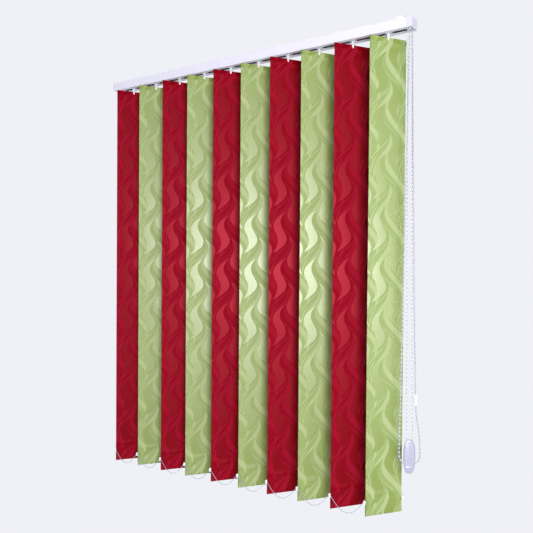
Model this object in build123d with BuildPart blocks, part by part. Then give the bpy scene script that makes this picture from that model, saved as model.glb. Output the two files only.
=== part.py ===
from build123d import *
from math import cos, pi, radians, sin, tan
import os

# A vertical blind: ten fabric vanes hang from carriers that slide in an aluminium headrail.
# Millimetres, +Z up, +X along the rail towards the control end, +Y towards the wall or window.
# The origin is on the mounting plane, midway between the screws of the two rail brackets.

# ---- driving sizes -------------------------------------------------------------------------
vane_count = 10
vane_spacing = 116.0
vane_width = 127.0
vane_drop = 1435.0
vane_angle = 54.0
last_vane_x = 405.0

rail_depth = 45.0
rail_height = 30.0
rail_wall = 1.5
rail_slot = 16.0
rail_beyond_first = 81.0
rail_beyond_last = 62.0
edge_radius = 0.8

bracket_spacing = 900.0
bracket_length = 24.0
bracket_sheet = 1.5
bracket_lip = 5.0
bracket_play = 0.1
screw_room = 2.5
screw_radius = 2.5
foot_width = 3.0

running_gap = 0.05
sliding_gap = 0.3

# tilt gear: a single-start worm on the tilt rod turns a toothed wheel on each hook stem
gear_module = 0.8
gear_teeth = 10
gear_height = 4.0
worm_pitch_radius = 4.6
worm_turns = 3
worm_end_room = 0.02
thread_sink = 0.2
rod_across_flats = 5.0
bore_clearance = 0.1
rod_drop = 16.0

# carriers
carrier_length = 21.0
carrier_top_gap = 2.0
carrier_wall = 0.9
runner_height = 3.5
carrier_corner = 1.5
slot_clearance = 0.5
collar_drop = 3.0
stem_radius = 3.0
stem_end_gap = 1.0
tooth_sink = 0.3
lug_length = 8.0
lug_height = 5.0
lug_wall = 1.5
lug_clamp = 0.1

# hook, hanger and fabric
stem_to_vane = 11.0
hook_width = 9.0
hook_reach = 10.5
hook_corner = 1.0
hook_top_gap = 0.1
hook_flange = 1.5
bridge_height = 4.0
prong_thickness = 1.5
prong_taper = 7.0
prong_tip = 3.0
back_prong = 9.0
hanger_thickness = 1.2
hanger_height = 13.0
hanger_end_gap = 3.5
hanger_drop = 3.5
tab_drop = 1.5
tab_height = 4.0
tab_side = 1.0
eye_side_room = 0.5
eye_height = 4.0
fabric_thickness = 0.5
pocket_gap = 0.15
notch_depth = 11.5
notch_side_room = 1.5
top_hem = 20.0
bottom_hem = 63.0
seam_height = 2.0
seam_taper = 3.0
peg_drop = 4.5
peg_width = 4.0
peg_height = 2.5

# bottom weights and the two link chains
ballast_thickness = 2.2
ballast_height = 56.0
ballast_rest = 0.2
clip_above_bottom = 42.0
clip_width = 6.0
clip_height = 12.0
clip_thickness = 3.6
clip_corner = 1.2
pin_height = 3.0
pin_reach = 1.0
chain_clear = 2.0
chain_sag = 44.0
link_chain_diameter = 2.0

# control end
housing_length = 18.0
housing_wall = 1.8
housing_proud = 0.3
block_inset = 3.0
block_lift = 4.0
block_key = 2.0
bearing_length = 14.0
outlet_room = 0.7
chain_diameter = 5.0
chain_room = 0.35
chain_pitch = 12.0
sprocket_pockets = 5
sprocket_width = 6.6
sprocket_rim = 0.5
sprocket_inset = 6.5
cord_diameter = 1.8
cord_inset = 4.5
cord_clearance = 0.75
cord_drop = 10.0
cord_bend = 6.0
horn_wall = 1.8
horn_overhang = 0.8

cap_thickness = 7.0
cap_corner = 5.0
web_thickness = 3.0
drum_gap = 1.0

# cord weight
weight_x = 490.0
weight_y = -17.0
weight_top = -1238.0
weight_width = 35.0
weight_thickness = 12.0
weight_height = 100.0
weight_turn = 35.2
weight_top_flat = 1.2
weight_foot_flat = 2.0
cord_entry = 9.0
cord_depth = 12.0
cord_hole_room = 0.4
chain_hole_room = 0.5
loop_half_width = 31.2
loop_bottom = -1310.0
connector_diameter = 9.0
connector_length = 33.0
connector_round = 1.5

# ---- worked out from the driving sizes -----------------------------------------------------
vane_places = [last_vane_x - vane_spacing * (vane_count - 1 - n) for n in range(vane_count)]
rail_left = vane_places[0] - rail_beyond_first
rail_right = vane_places[-1] + rail_beyond_last
rail_length = rail_right - rail_left
rail_top = -bracket_sheet - screw_room
rail_bottom = rail_top - rail_height
rail_inside = rail_depth / 2 - rail_wall
lip_top = rail_bottom + rail_wall

pitch = pi * gear_module
wheel_pitch_radius = gear_module * gear_teeth / 2
rod_y = -(wheel_pitch_radius + worm_pitch_radius)
rod_z = rail_top - rod_drop
worm_root = worm_pitch_radius - 1.25 * gear_module
worm_outer = worm_pitch_radius + gear_module
wheel_outer = wheel_pitch_radius + 0.875 * gear_module
rod_corner_radius = rod_across_flats / 2 / cos(pi / 6)
# half widths of the thread and of a tooth, at the foot, the pitch line and the tip
thread_foot = 0.975 * gear_module
thread_crest = 0.275 * gear_module
tooth_foot = 0.775 * gear_module
tooth_middle = 0.525 * gear_module
tooth_tip = 0.25 * gear_module
worm_length = (worm_turns + 0.5) * pitch + 2 * thread_foot + 2 * worm_end_room

carrier_front = worm_outer + running_gap + 2 * carrier_wall - rod_y
collar_radius = rail_slot / 2 - slot_clearance
collar_bottom = lip_top - collar_drop
vane_top = rail_bottom - stem_to_vane
vane_bottom = vane_top - vane_drop
pocket_half = hanger_thickness / 2 + pocket_gap
ballast_pocket_half = ballast_thickness / 2 + pocket_gap
clip_z = vane_bottom + clip_above_bottom
clip_reach = vane_width / 2 + sliding_gap + clip_width / 2
peg_top = vane_top - peg_drop

housing_end = rail_right + housing_length
sprocket_x = housing_end - sprocket_inset
sprocket_pitch_radius = chain_pitch * sprocket_pockets / (2 * pi)
cord_x = rail_right + cord_inset
cord_z = rail_top - cord_drop
cord_radius = cord_diameter / 2
cord_offset = carrier_front + cord_radius + cord_clearance
front_strand_y = rod_y - sprocket_pitch_radius
back_strand_y = rod_y + sprocket_pitch_radius

width_way = (cos(radians(vane_angle)), sin(radians(vane_angle)), 0)
front_way = (sin(radians(vane_angle)), -cos(radians(vane_angle)), 0)
back_way = (-front_way[0], -front_way[1], 0)
loop_way = Vector(cos(radians(weight_turn)), sin(radians(weight_turn)), 0)
weight_centre = Vector(weight_x, weight_y, 0)

os.makedirs("parts", exist_ok=True)


def save(piece, name):
    piece.label = name
    export_step(piece, f"parts/{name}.step")


def across_plane(x):
    """A vane's section: its width runs out of the page, its back is to the right, up is up."""
    return Plane(origin=(x, 0, 0), x_dir=back_way, z_dir=width_way)


def facing_plane(x, y=0.0):
    """A vane seen from the front: its width runs to the right and up is up."""
    return Plane(origin=(x, y, 0), x_dir=width_way, z_dir=front_way)


def flat_plane(x, z):
    """A level section turned to the vane's width."""
    return Plane(origin=(x, 0, z), x_dir=width_way, z_dir=(0, 0, 1))


def widest_radii(points, tight=()):
    """The radius of each corner: 0.45 of its shorter run over the tangent of half its turn."""
    radii = []
    for n in range(1, len(points) - 1):
        before = Vector(points[n]) - Vector(points[n - 1])
        after = Vector(points[n + 1]) - Vector(points[n])
        half_turn = radians(before.get_angle(after)) / 2
        radii.append(0.45 * min(before.length, after.length) / tan(half_turn))
    for place, radius in tight:
        radii[place] = radius
    return radii


def tube(points, radii, diameter):
    """A round solid that follows straight runs joined by tangent arcs."""
    with BuildPart() as run:
        with BuildLine() as route:
            FilletPolyline(*points, radius=radii)
        wire = route.wire()
        with BuildSketch(Plane(origin=wire @ 0, z_dir=wire % 0)):
            Circle(diameter / 2)
        sweep(path=wire)
    expected = pi * diameter**2 / 4 * wire.length
    print(f"  length {wire.length:.1f}, volume over section {run.part.volume / expected:.4f}")
    print("  radii", [round(r, 1) for r in radii])
    return run.part


# ---- headrail: one extruded aluminium channel, open below along the middle -----------------
with BuildPart() as headrail:
    with BuildSketch(Plane.YZ.offset(rail_left)):
        with Locations((0, rail_top - rail_height / 2)):
            RectangleRounded(rail_depth, rail_height, edge_radius)
            Rectangle(2 * rail_inside, rail_height - 2 * rail_wall, mode=Mode.SUBTRACT)
        with Locations((0, rail_bottom + rail_wall / 2)):
            Rectangle(rail_slot, 2 * rail_wall, mode=Mode.SUBTRACT)
    extrude(amount=rail_length)
save(headrail.part, "headrail")

# ---- mounting brackets: two folded spring-steel clips that grip the rail's top edges --------
with BuildPart() as mounting_brackets:
    clip_inner = rail_depth / 2 + bracket_play
    clip_outer = clip_inner + bracket_sheet
    lip_reach = rail_top - bracket_lip
    for side in (-1, 1):
        with BuildSketch(Plane.YZ.offset(side * bracket_spacing / 2 - bracket_length / 2)):
            with BuildLine():
                Polyline(
                    (-clip_outer, lip_reach),
                    (-clip_outer, 0),
                    (clip_outer, 0),
                    (clip_outer, lip_reach),
                    (clip_inner, lip_reach),
                    (clip_inner, -bracket_sheet),
                    (-clip_inner, -bracket_sheet),
                    (-clip_inner, lip_reach),
                    close=True,
                )
            make_face()
        extrude(amount=bracket_length)
    with Locations((-bracket_spacing / 2, 0, 0), (bracket_spacing / 2, 0, 0)):
        Cylinder(screw_radius, 4 * bracket_sheet, mode=Mode.SUBTRACT)
    # two pressed feet in each clip rest on the rail and keep the room for the screw's head
    with Locations(*[
        (side * bracket_spacing / 2, y, rail_top + screw_room / 2)
        for side in (-1, 1)
        for y in (-rail_depth / 3, rail_depth / 3)
    ]):
        Box(bracket_length, foot_width, screw_room)
save(mounting_brackets.part, "mounting_brackets")

# ---- far end cap: a moulded plug with the drum that the draw cord turns round ----------------
drum_radius = cord_offset - cord_radius - sliding_gap
drum_x = rail_left + cord_offset + cord_radius + drum_gap
with BuildPart() as end_cap:
    with BuildSketch(Plane.XZ.offset(-rail_depth / 2)):
        with Locations((rail_left - cap_thickness / 2, rail_top - rail_height / 2)):
            Rectangle(cap_thickness, rail_height)
    extrude(amount=rail_depth)
    outer_edges = end_cap.edges().filter_by(Axis.Y).group_by(Axis.X)[0]
    fillet(outer_edges, cap_corner)
    # the web under the rail's top wall carries the drum
    web_top = rail_top - rail_wall - sliding_gap / 2
    with BuildSketch(Plane.XY.offset(web_top)):
        with Locations((rail_left, 0)):
            web_length = drum_x - rail_left + drum_radius
            Rectangle(web_length, 1.2 * drum_radius, align=(Align.MIN, Align.CENTER))
    extrude(amount=-web_thickness)
    with BuildSketch(Plane.XY.offset(web_top)):
        with Locations((drum_x, 0)):
            Circle(drum_radius)
    extrude(amount=lip_top + drum_gap - web_top)
    # the rod's far bearing is a blind bore from the drum's inner side
    with BuildSketch(Plane.YZ.offset(drum_x)):
        with Locations((rod_y, rod_z)):
            Circle(rod_corner_radius + running_gap)
    extrude(amount=2 * drum_radius, mode=Mode.SUBTRACT)
save(end_cap.part, "end_cap")

# ---- control housing: a moulded box over the sprocket, with a bearing block in the rail ------
# deep enough to cover the rail's end and to leave room round the chain's front strand
cover_depth = rail_depth + 2 * housing_proud
strand_depth = 2 * (chain_diameter / 2 + chain_room + housing_wall - front_strand_y)
shell_depth = max(cover_depth, strand_depth)
shell_height = rail_height + 2 * housing_proud
shell_mid_z = rail_top - rail_height / 2
with BuildPart() as control_housing:
    with BuildSketch(Plane.YZ.offset(rail_right)):
        with Locations((0, shell_mid_z)):
            RectangleRounded(shell_depth, shell_height, 2 * edge_radius)
    extrude(amount=housing_length)
    fillet(control_housing.faces().sort_by(Axis.X)[-1].edges(), edge_radius)
    with BuildSketch(Plane.YZ.offset(rail_right)):
        with Locations((0, shell_mid_z)):
            Rectangle(shell_depth - 2 * housing_wall, shell_height - 2 * housing_wall)
    extrude(amount=housing_length - housing_wall, mode=Mode.SUBTRACT)
    # the block lies inside the rail and its bore carries the tilt rod
    block_half = cord_offset - cord_radius - horn_wall
    block_top = rail_top - rail_wall - sliding_gap
    block_bottom = lip_top + block_lift
    with BuildSketch(Plane.YZ.offset(rail_right + block_inset)):
        with Locations((0, block_bottom)):
            Rectangle(2 * block_half, block_top - block_bottom, align=(Align.CENTER, Align.MIN))
    extrude(amount=-bearing_length)
    with BuildSketch(Plane.YZ.offset(rail_right)):
        with Locations((0, block_top)):
            Rectangle(2 * block_half, block_key, align=(Align.CENTER, Align.MIN))
    extrude(amount=block_inset)
    # each cord turns down over a round horn on the block's side
    horn_x = cord_x - cord_bend
    horn_z = cord_z - cord_bend
    for side in (-1, 1):
        with BuildSketch(Plane.XZ.offset(-side * block_half)):
            with Locations((horn_x, horn_z)):
                Circle(cord_bend - cord_radius - sliding_gap)
        extrude(amount=-side * (cord_offset + cord_radius + horn_overhang - block_half))
    with BuildSketch(Plane.YZ.offset(rail_right + block_inset)):
        with Locations((rod_y, rod_z)):
            Circle(rod_corner_radius + running_gap)
    extrude(amount=-bearing_length, mode=Mode.SUBTRACT)
    # outlets below: two for the bead chain, two for the draw cord
    outlet_plane = Plane.XY.offset(rail_bottom - housing_proud)
    with BuildSketch(outlet_plane):
        with Locations((sprocket_x, front_strand_y), (sprocket_x, back_strand_y)):
            Circle(chain_diameter / 2 + outlet_room)
        with Locations((cord_x, -cord_offset), (cord_x, cord_offset)):
            Circle(cord_radius + outlet_room)
    extrude(amount=housing_wall, mode=Mode.SUBTRACT)
save(control_housing.part, "control_housing")

# ---- tilt rod: a hexagonal aluminium rod with the chain sprocket at its end ------------------
rod_start = drum_x + drum_gap
with BuildPart() as rod_bar:
    with BuildSketch(Plane.YZ.offset(rod_start)):
        with Locations((rod_y, rod_z)):
            RegularPolygon(rod_corner_radius, 6)
    extrude(amount=sprocket_x - sprocket_width / 2 - rod_start)
with BuildPart() as sprocket:
    groove_radius = chain_diameter / 2 + sliding_gap
    with BuildSketch(Plane.YZ.offset(sprocket_x - sprocket_width / 2)):
        with Locations((rod_y, rod_z)):
            Circle(sprocket_pitch_radius + sprocket_rim)
    extrude(amount=sprocket_width)
    with BuildSketch(Plane(origin=(sprocket_x, rod_y, rod_z), x_dir=(0, 1, 0), z_dir=(0, 0, 1))):
        with Locations((sprocket_pitch_radius, 0)):
            Circle(groove_radius)
    revolve(axis=Axis((sprocket_x, rod_y, rod_z), (1, 0, 0)), mode=Mode.SUBTRACT)
rod_and_sprocket = Compound(children=[rod_bar.part.solid(), sprocket.part.solid()])
save(rod_and_sprocket, "tilt_rod")


# ---- carrier: a moulded block on two runners, with chambers for the worm and the wheel -------
def make_carrier(x, leads):
    block_top = rail_top - rail_wall - carrier_top_gap
    block_back = wheel_outer + 3 * carrier_wall
    runner_bottom = lip_top + running_gap
    wheel_room = gear_height / 2 + running_gap
    with BuildPart() as carrier:
        with BuildSketch(Plane.XY.offset(runner_bottom)):
            with Locations((x, (block_back - carrier_front) / 2)):
                RectangleRounded(carrier_length, block_back + carrier_front, carrier_corner)
        extrude(amount=block_top - runner_bottom)
        with BuildSketch(Plane.XY.offset(runner_bottom)):
            with Locations((x, 0)):
                RectangleRounded(carrier_length, 2 * (rail_inside - sliding_gap), carrier_corner)
        extrude(amount=runner_height)
        with BuildSketch(Plane.XY.offset(runner_bottom)):
            with Locations((x, 0)):
                Circle(collar_radius)
        extrude(amount=collar_bottom - runner_bottom)
        # the upright bore holds the stem, and its wider chamber the toothed wheel
        with BuildSketch(Plane.XY.offset(collar_bottom)):
            with Locations((x, 0)):
                Circle(stem_radius + running_gap)
        extrude(amount=block_top - collar_bottom, mode=Mode.SUBTRACT)
        with BuildSketch(Plane.XY.offset(rod_z - wheel_room)):
            with Locations((x, 0)):
                Circle(wheel_outer + 2 * running_gap)
        extrude(amount=2 * wheel_room, mode=Mode.SUBTRACT)
        # the level chamber holds the worm between two walls that the rod passes through
        with BuildSketch(Plane.YZ.offset(x - worm_length / 2 - running_gap)):
            with Locations((rod_y, rod_z)):
                Circle(worm_outer + 4 * running_gap)
        extrude(amount=worm_length + 2 * running_gap, mode=Mode.SUBTRACT)
        with BuildSketch(Plane.YZ.offset(x - carrier_length / 2)):
            with Locations((rod_y, rod_z)):
                Circle(rod_corner_radius + 3 * running_gap)
        extrude(amount=carrier_length, mode=Mode.SUBTRACT)
        if leads:
            # the first carrier's lug is clamped to the draw cord that pulls the whole set
            with BuildSketch(Plane.YZ.offset(x - lug_length / 2)):
                with Locations((block_back, cord_z)):
                    lug_width = cord_offset + cord_radius + lug_wall - block_back
                    Rectangle(lug_width, lug_height, align=(Align.MIN, Align.CENTER))
                with Locations((cord_offset, cord_z)):
                    Circle(cord_radius + lug_clamp, mode=Mode.SUBTRACT)
            extrude(amount=lug_length)
    return carrier.part


# ---- worm: a nylon sleeve with one thread, driven by the rod that slides through it ----------
def make_worm(x):
    thread_length = worm_turns * pitch
    # a quarter pitch back sets the crest that faces the wheel level with the stem's axis
    thread_middle = x - pitch / 4
    with BuildPart() as worm:
        with BuildSketch(Plane.YZ.offset(x - worm_length / 2)):
            with Locations((rod_y, rod_z)):
                Circle(worm_root)
        extrude(amount=worm_length)
        with BuildLine():
            thread = Helix(
                pitch=pitch,
                height=thread_length,
                radius=worm_root - thread_sink,
                center=(thread_middle - thread_length / 2, rod_y, rod_z),
                direction=(1, 0, 0),
            )
        with BuildSketch(Plane(origin=thread @ 0, x_dir=(1, 0, 0), z_dir=thread % 0)):
            with BuildLine():
                Polyline(
                    (-thread_foot, 0),
                    (-thread_crest, worm_outer - worm_root + thread_sink),
                    (thread_crest, worm_outer - worm_root + thread_sink),
                    (thread_foot, 0),
                    close=True,
                )
            make_face()
        sweep(path=thread, is_frenet=True)
        # the hexagonal bore that slides along the rod
        with BuildSketch(Plane.YZ.offset(x - worm_length / 2)):
            with Locations((rod_y, rod_z)):
                RegularPolygon(rod_corner_radius + bore_clearance / 2, 6)
        extrude(amount=worm_length, mode=Mode.SUBTRACT)
    return worm.part


# ---- hook stem: a moulded shaft with ten teeth above and a forked hook below -----------------
def make_hook_stem(x):
    stem_top = rail_top - rail_wall - carrier_top_gap - stem_end_gap
    hook_top = collar_bottom - hook_top_gap
    fork_gap = hanger_thickness / 2 + sliding_gap
    prong_out = fork_gap + prong_thickness
    bridge_bottom = vane_top + bridge_height
    tooth_root = stem_radius - tooth_sink - wheel_pitch_radius
    tooth_top = wheel_outer - wheel_pitch_radius
    tooth = [
        (tooth_root, -tooth_foot),
        (0, -tooth_middle),
        (tooth_top, -tooth_tip),
        (tooth_top, tooth_tip),
        (0, tooth_middle),
        (tooth_root, tooth_foot),
    ]
    with BuildPart() as stem:
        with BuildSketch(Plane.XY.offset(hook_top - hook_flange)):
            with Locations((x, 0)):
                Circle(stem_radius)
        extrude(amount=stem_top - hook_top + hook_flange)
        with BuildSketch(Plane.XY.offset(rod_z - gear_height / 2)):
            # a gap between teeth faces the worm
            with Locations((x, 0)):
                with PolarLocations(wheel_pitch_radius, gear_teeth, start_angle=-90 + 180 / gear_teeth):
                    Polygon(*tooth, align=None)
        extrude(amount=gear_height)
        with BuildSketch(flat_plane(x, hook_top)):
            Circle(stem_radius + hook_flange)
        extrude(amount=-hook_flange)
        with BuildSketch(flat_plane(x, hook_top)):
            RectangleRounded(hook_width, 2 * prong_out, hook_corner)
        extrude(amount=bridge_bottom - hook_top)
        # the front prong is longer and tapers, the back one is a short guide
        prong_foot = vane_top - hook_reach
        prong_top = bridge_bottom + hook_corner
        with BuildSketch(facing_plane(x).offset(fork_gap)):
            with BuildLine():
                Polyline(
                    (-hook_width / 2, prong_top),
                    (-hook_width / 2, prong_foot + prong_taper),
                    (-prong_tip / 2, prong_foot),
                    (prong_tip / 2, prong_foot),
                    (hook_width / 2, prong_foot + prong_taper),
                    (hook_width / 2, prong_top),
                    close=True,
                )
            make_face()
        extrude(amount=prong_thickness)
        with BuildSketch(facing_plane(x).offset(-fork_gap)):
            with Locations((0, prong_top)):
                Rectangle(hook_width, back_prong, align=(Align.CENTER, Align.MAX))
        extrude(amount=-prong_thickness)
        # the peg on the front prong goes through the hanger's eye
        with BuildSketch(facing_plane(x).offset(fork_gap)):
            with Locations((0, peg_top)):
                Rectangle(peg_width, peg_height, align=(Align.CENTER, Align.MAX))
        extrude(amount=-fork_gap - hanger_thickness / 2)
    return stem.part


# ---- vane: one strip of woven fabric with a pocket sewn at each end --------------------------
def make_vane(x):
    hem = vane_top - top_hem
    low_hem = vane_bottom + bottom_hem
    half = fabric_thickness / 2
    top_out = pocket_half + fabric_thickness
    low_out = ballast_pocket_half + fabric_thickness
    right_side = [
        (top_out, vane_top),
        (top_out, hem + seam_taper),
        (fabric_thickness, hem),
        (fabric_thickness, hem - seam_height),
        (half, hem - seam_height),
        (half, low_hem + seam_height),
        (fabric_thickness, low_hem + seam_height),
        (fabric_thickness, low_hem),
        (low_out, low_hem - seam_taper),
        (low_out, vane_bottom),
    ]
    left_side = [(-across, up) for across, up in reversed(right_side)]
    top_pocket = [
        (-pocket_half, vane_top - fabric_thickness),
        (pocket_half, vane_top - fabric_thickness),
        (pocket_half, hem + seam_taper),
        (0, hem + seam_taper / 4),
        (-pocket_half, hem + seam_taper),
    ]
    low_pocket = [
        (-ballast_pocket_half, vane_bottom + fabric_thickness),
        (-ballast_pocket_half, low_hem - seam_taper),
        (0, low_hem - seam_taper / 4),
        (ballast_pocket_half, low_hem - seam_taper),
        (ballast_pocket_half, vane_bottom + fabric_thickness),
    ]
    with BuildPart() as vane:
        with BuildSketch(across_plane(x).offset(-vane_width / 2)):
            Polygon(*right_side, *left_side, align=None)
            Polygon(*top_pocket, align=None, mode=Mode.SUBTRACT)
            Polygon(*low_pocket, align=None, mode=Mode.SUBTRACT)
        extrude(amount=vane_width)
        # the notch in the top fold where the hook reaches the hanger
        with BuildSketch(facing_plane(x).offset(-2 * top_out)):
            with Locations((0, vane_top - notch_depth)):
                notch_width = hook_width + 2 * notch_side_room
                Rectangle(notch_width, 2 * notch_depth, align=(Align.CENTER, Align.MIN))
        extrude(amount=4 * top_out, mode=Mode.SUBTRACT)
    return vane.part


# ---- vane fittings: hanger plate, bottom weight and its two chain clips ----------------------
def make_hanger(x):
    bar_length = vane_width - 2 * hanger_end_gap
    eye_width = peg_width + 2 * eye_side_room
    hanging = (Align.CENTER, Align.MAX)
    with BuildPart() as hanger:
        with BuildSketch(facing_plane(x).offset(-hanger_thickness / 2)):
            with Locations((0, vane_top - hanger_drop)):
                Rectangle(bar_length, hanger_height, align=hanging)
            with Locations((0, vane_top - tab_drop)):
                Rectangle(hook_width + 2 * tab_side, tab_height, align=hanging)
            with Locations((0, peg_top + running_gap)):
                Rectangle(eye_width, eye_height, align=hanging, mode=Mode.SUBTRACT)
        extrude(amount=hanger_thickness)
    return hanger.part


def make_ballast(x):
    plate_bottom = vane_bottom + fabric_thickness + ballast_rest
    with BuildPart() as ballast:
        with BuildSketch(facing_plane(x).offset(-ballast_thickness / 2)):
            with Locations((0, plate_bottom)):
                plate_length = vane_width - 2 * hanger_end_gap
                Rectangle(plate_length, ballast_height, align=(Align.CENTER, Align.MIN))
            # the pin at each end passes out of the pocket and carries a chain clip
            with Locations((0, clip_z)):
                Rectangle(2 * (clip_reach + pin_reach), pin_height)
        extrude(amount=ballast_thickness)
    return ballast.part


def make_clip(x, side):
    with BuildPart() as clip:
        with BuildSketch(facing_plane(x).offset(-clip_thickness / 2)):
            with Locations((side * clip_reach, clip_z)):
                RectangleRounded(clip_width, clip_height, clip_corner)
        extrude(amount=clip_thickness)
        # the pocket in the clip that snaps over the pin
        with BuildSketch(facing_plane(x).offset(-ballast_thickness / 2 - running_gap)):
            with Locations((side * (clip_reach - clip_width / 2), clip_z)):
                socket_width = clip_width + 2 * pin_reach + 2 * running_gap
                Rectangle(socket_width, pin_height + 2 * running_gap)
        extrude(amount=ballast_thickness + 2 * running_gap, mode=Mode.SUBTRACT)
    return clip.part


for number, place in enumerate(vane_places, start=1):
    save(make_carrier(place, leads=number == 1), f"carrier_{number}")
    save(make_worm(place), f"worm_{number}")
    save(make_hook_stem(place), f"hook_stem_{number}")
    save(make_vane(place), f"vane_{number}")
    pieces = [make_hanger(place), make_ballast(place), make_clip(place, -1), make_clip(place, 1)]
    fittings = Compound(children=[piece.solid() for piece in pieces])
    save(fittings, f"vane_fittings_{number}")


# ---- link chains: thin chains that hang from clip to clip along the front and the back -------
def make_link_chain(side, name):
    reach_x = side * clip_reach * width_way[0]
    reach_y = side * clip_reach * width_way[1]
    free_half = (vane_spacing - clip_thickness) / 2 - chain_clear
    spans = []
    for place in vane_places[:-1]:
        middle = place + reach_x + vane_spacing / 2
        points = []
        for share in (-1, -0.62, -0.22, 0.22, 0.62, 1):
            up = clip_z - chain_sag * (1 - share**2)
            points.append((middle + share * free_half, reach_y, up))
        print(name)
        spans.append(tube(points, widest_radii(points), link_chain_diameter).solid())
    save(Compound(children=spans), name)


make_link_chain(-1, "front_link_chain")
make_link_chain(1, "rear_link_chain")

# ---- bead chain: up one side, round the sprocket, down the other and through the weight ------
loop_left = weight_centre - loop_way * loop_half_width
loop_right = weight_centre + loop_way * loop_half_width
strand_bend = Vector(495.0, 0.6, -904.0)
connector_top = Vector(500.5, 1.0, -1107.0)
connector_way = (connector_top - strand_bend).normalized()
connector_foot = connector_top + connector_way * connector_length
chain_route = [
    tuple(connector_foot),
    tuple(connector_foot + connector_way * 30.0),
    (512.5, 1.0, -1214.0),
    (loop_right.X, loop_right.Y, -1262.0),
    (loop_right.X, loop_right.Y + 0.2, loop_bottom),
    (loop_left.X, loop_left.Y, loop_bottom),
    (sprocket_x, front_strand_y, rod_z + sprocket_pitch_radius),
    (sprocket_x, back_strand_y, rod_z + sprocket_pitch_radius),
    tuple(strand_bend),
    tuple(connector_top),
]
print("bead chain")
wrap = sprocket_pitch_radius - 0.01
chain_radii = widest_radii(chain_route, tight=((5, wrap), (6, wrap)))
chain_tube = tube(chain_route, chain_radii, chain_diameter)
with BuildPart() as connector:
    with BuildSketch(Plane(origin=connector_top, z_dir=connector_way)):
        Circle(connector_diameter / 2)
    extrude(amount=connector_length)
    fillet(connector.edges(), connector_round)
save(Compound(children=[chain_tube.solid(), connector.part.solid()]), "tilt_chain")

# ---- draw cord: from the weight up into the rail, round the far drum and back again -----------
cord_end = weight_top - cord_depth
front_entry = weight_centre - loop_way * cord_entry
back_entry = weight_centre + loop_way * cord_entry
turn_x = drum_x - cord_offset
cord_route = [
    (front_entry.X, front_entry.Y, cord_end),
    (cord_x, -cord_offset, cord_z),
    (turn_x, -cord_offset, cord_z),
    (turn_x, cord_offset, cord_z),
    (cord_x, cord_offset, cord_z),
    (back_entry.X, back_entry.Y, cord_end),
]
print("draw cord")
round_drum = cord_offset - 0.02
cord_radii = widest_radii(
    cord_route, tight=((0, cord_bend), (1, round_drum), (2, round_drum), (3, cord_bend))
)
draw_cord = tube(cord_route, cord_radii, cord_diameter)
save(draw_cord, "draw_cord")

# ---- cord weight: a moulded drop that holds both cord ends and lets the chain run through -----
weight_plane = Plane(origin=(weight_x, weight_y, weight_top), x_dir=loop_way, z_dir=(0, 0, 1))
with BuildPart() as cord_weight:
    with BuildSketch(weight_plane):
        SlotOverall(weight_width, weight_thickness)
    extrude(amount=-weight_height)
    fillet(cord_weight.faces().sort_by(Axis.Z)[-1].edges(), weight_thickness / 2 - weight_top_flat)
    fillet(cord_weight.faces().sort_by(Axis.Z)[0].edges(), weight_thickness / 2 - weight_foot_flat)
    with BuildSketch(weight_plane):
        with Locations((-cord_entry, 0), (cord_entry, 0)):
            Circle(cord_radius + cord_hole_room)
    extrude(amount=-cord_depth - running_gap, mode=Mode.SUBTRACT)
    # the chain's way through the lower part follows the chain's own route
    with BuildLine():
        through = FilletPolyline(*chain_route[3:7], radius=chain_radii[3:5])
    with BuildSketch(Plane(origin=through @ 0, z_dir=through % 0)):
        Circle(chain_diameter / 2 + chain_hole_room)
    sweep(path=through, mode=Mode.SUBTRACT)
save(cord_weight.part, "cord_weight")
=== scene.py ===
import bpy
import bmesh
from math import cos, pi, radians, sin
from mathutils import Matrix, Vector


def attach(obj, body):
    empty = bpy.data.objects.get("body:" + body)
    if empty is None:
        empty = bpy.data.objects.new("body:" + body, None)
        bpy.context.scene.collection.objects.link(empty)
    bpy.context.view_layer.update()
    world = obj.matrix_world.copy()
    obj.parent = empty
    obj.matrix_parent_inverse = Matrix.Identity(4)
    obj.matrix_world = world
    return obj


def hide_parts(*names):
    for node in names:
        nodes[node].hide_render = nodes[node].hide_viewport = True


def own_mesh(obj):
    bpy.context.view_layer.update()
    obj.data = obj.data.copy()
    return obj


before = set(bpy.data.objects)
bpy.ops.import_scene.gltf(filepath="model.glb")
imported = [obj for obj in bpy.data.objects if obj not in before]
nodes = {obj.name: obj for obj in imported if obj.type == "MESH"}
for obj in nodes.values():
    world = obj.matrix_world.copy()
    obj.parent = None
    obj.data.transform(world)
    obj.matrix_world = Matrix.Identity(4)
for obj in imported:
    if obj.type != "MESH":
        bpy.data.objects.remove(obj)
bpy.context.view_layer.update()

# ---- Studio --------------------------------------------------------------------------------
# A pale even room: a large soft lamp stands in front and to the right, so that each strip
# shades the far edge of the one beside it, and a short one with it brings up the satin.
room_white = (0.871, 0.871, 0.93, 1.0)
room_light = (0.93, 0.93, 1.0, 1.0)
room_strength = 0.72
floor_height = -2.3
floor_size = 24.0

room = bpy.data.worlds.new("room")
bpy.context.scene.world = room
room.use_nodes = True
room_nodes = room.node_tree.nodes
room_links = room.node_tree.links
room_nodes.clear()
room_out = room_nodes.new("ShaderNodeOutputWorld")
room_seen = room_nodes.new("ShaderNodeBackground")
room_seen.inputs["Color"].default_value = room_white
room_lit = room_nodes.new("ShaderNodeBackground")
room_lit.inputs["Color"].default_value = room_light
room_lit.inputs["Strength"].default_value = room_strength
room_ray = room_nodes.new("ShaderNodeLightPath")
room_mix = room_nodes.new("ShaderNodeMixShader")
room_links.new(room_ray.outputs["Is Camera Ray"], room_mix.inputs["Fac"])
room_links.new(room_lit.outputs["Background"], room_mix.inputs[1])
room_links.new(room_seen.outputs["Background"], room_mix.inputs[2])
room_links.new(room_mix.outputs["Shader"], room_out.inputs["Surface"])
bpy.context.scene.view_settings.view_transform = "Standard"

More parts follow.
